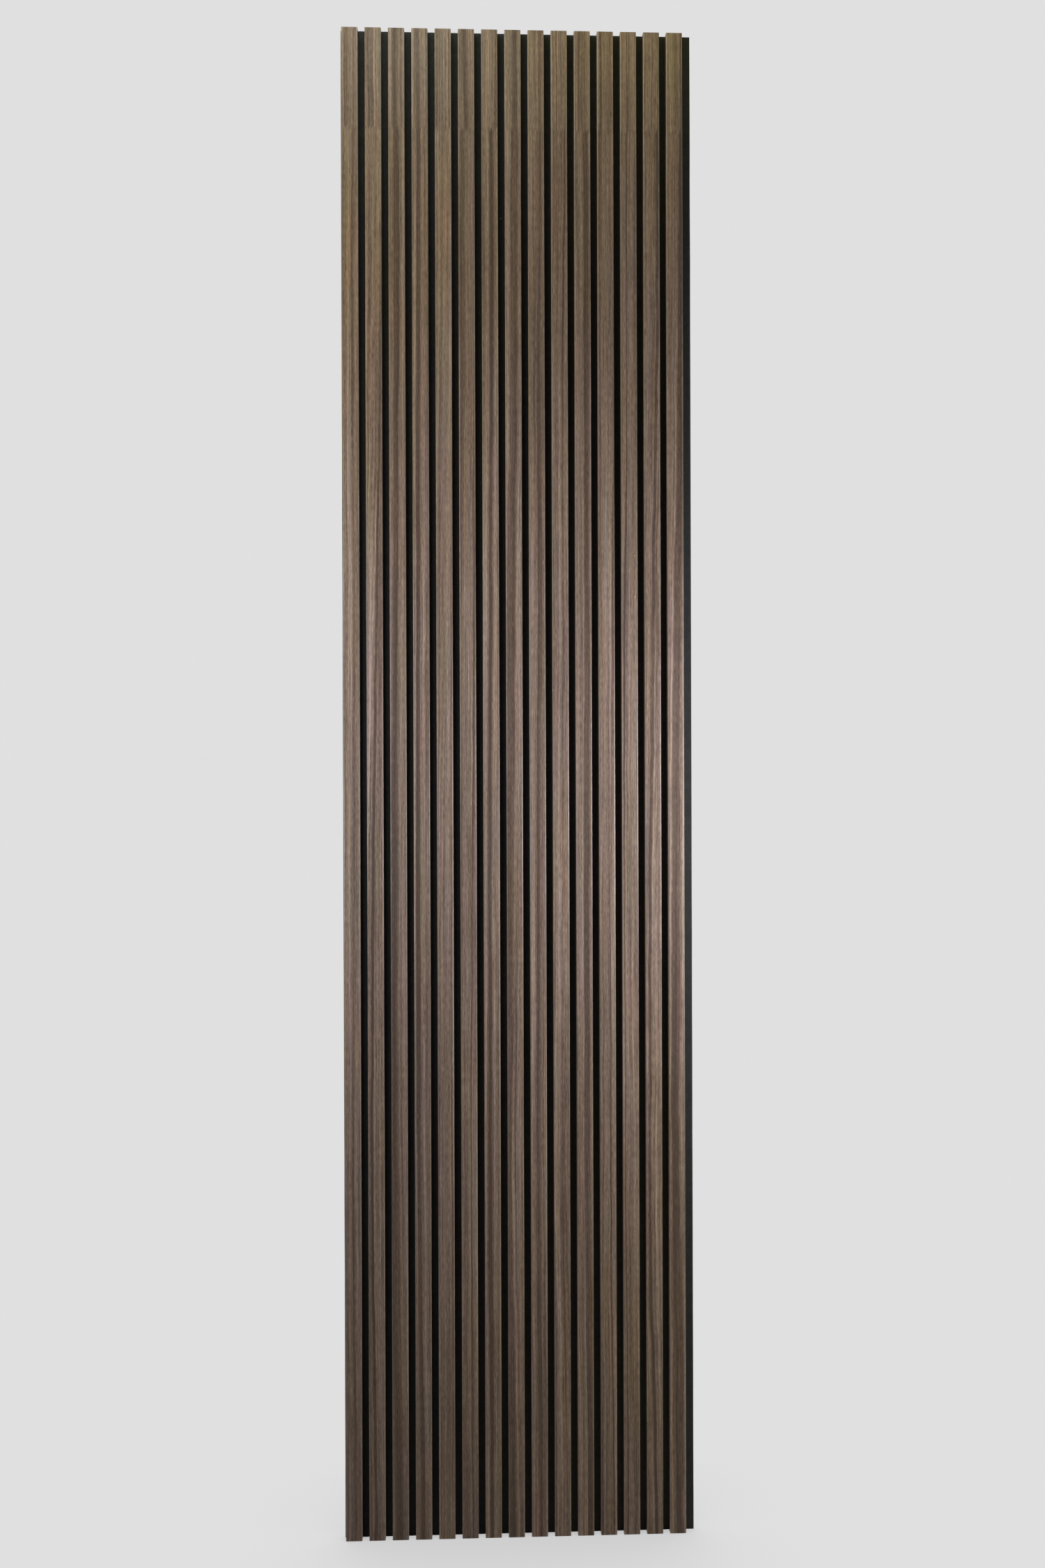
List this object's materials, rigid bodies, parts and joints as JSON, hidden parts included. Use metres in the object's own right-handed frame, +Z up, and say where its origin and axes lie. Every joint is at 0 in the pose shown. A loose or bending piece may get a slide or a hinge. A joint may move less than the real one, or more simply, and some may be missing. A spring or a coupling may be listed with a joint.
{
  "type": "acoustic slat wall panel",
  "caption": "Tall wall panel of parallel wood-veneered slats on a black felt backing board that absorbs sound; the felt shows past one edge to space the next panel.",
  "frame": {"origin": "centre of the felt's rear face, which goes against the wall", "axes": "+Z up along the slats, +X to the right as seen from the room, +Y into the wall"},
  "size_m": [0.605, 0.021, 2.6],
  "materials": {
    "veneer": "grey-brown walnut veneer, matt open-pore lacquer",
    "fibreboard": "raw sawn medium-density fibreboard",
    "felt": "black needled polyester felt board",
    "staple_wire": "galvanised flat wire"
  },
  "bodies": {
    "root": {"felt_backing": "felt", "slat_core_01": "fibreboard", "slat_core_02": "fibreboard", "slat_core_03": "fibreboard", "slat_core_04": "fibreboard", "slat_core_05": "fibreboard", "slat_core_06": "fibreboard", "slat_core_07": "fibreboard", "slat_core_08": "fibreboard", "slat_core_09": "fibreboard", "slat_core_10": "fibreboard", "slat_core_11": "fibreboard", "slat_core_12": "fibreboard", "slat_core_13": "fibreboard", "slat_core_14": "fibreboard", "slat_core_15": "fibreboard", "veneer_wrap_01": "veneer", "veneer_wrap_02": "veneer", "veneer_wrap_03": "veneer", "veneer_wrap_04": "veneer", "veneer_wrap_05": "veneer", "veneer_wrap_06": "veneer", "veneer_wrap_07": "veneer", "veneer_wrap_08": "veneer", "veneer_wrap_09": "veneer", "veneer_wrap_10": "veneer", "veneer_wrap_11": "veneer", "veneer_wrap_12": "veneer", "veneer_wrap_13": "veneer", "veneer_wrap_14": "veneer", "veneer_wrap_15": "veneer", "staples": "staple_wire"}
  },
  "joints": []
}
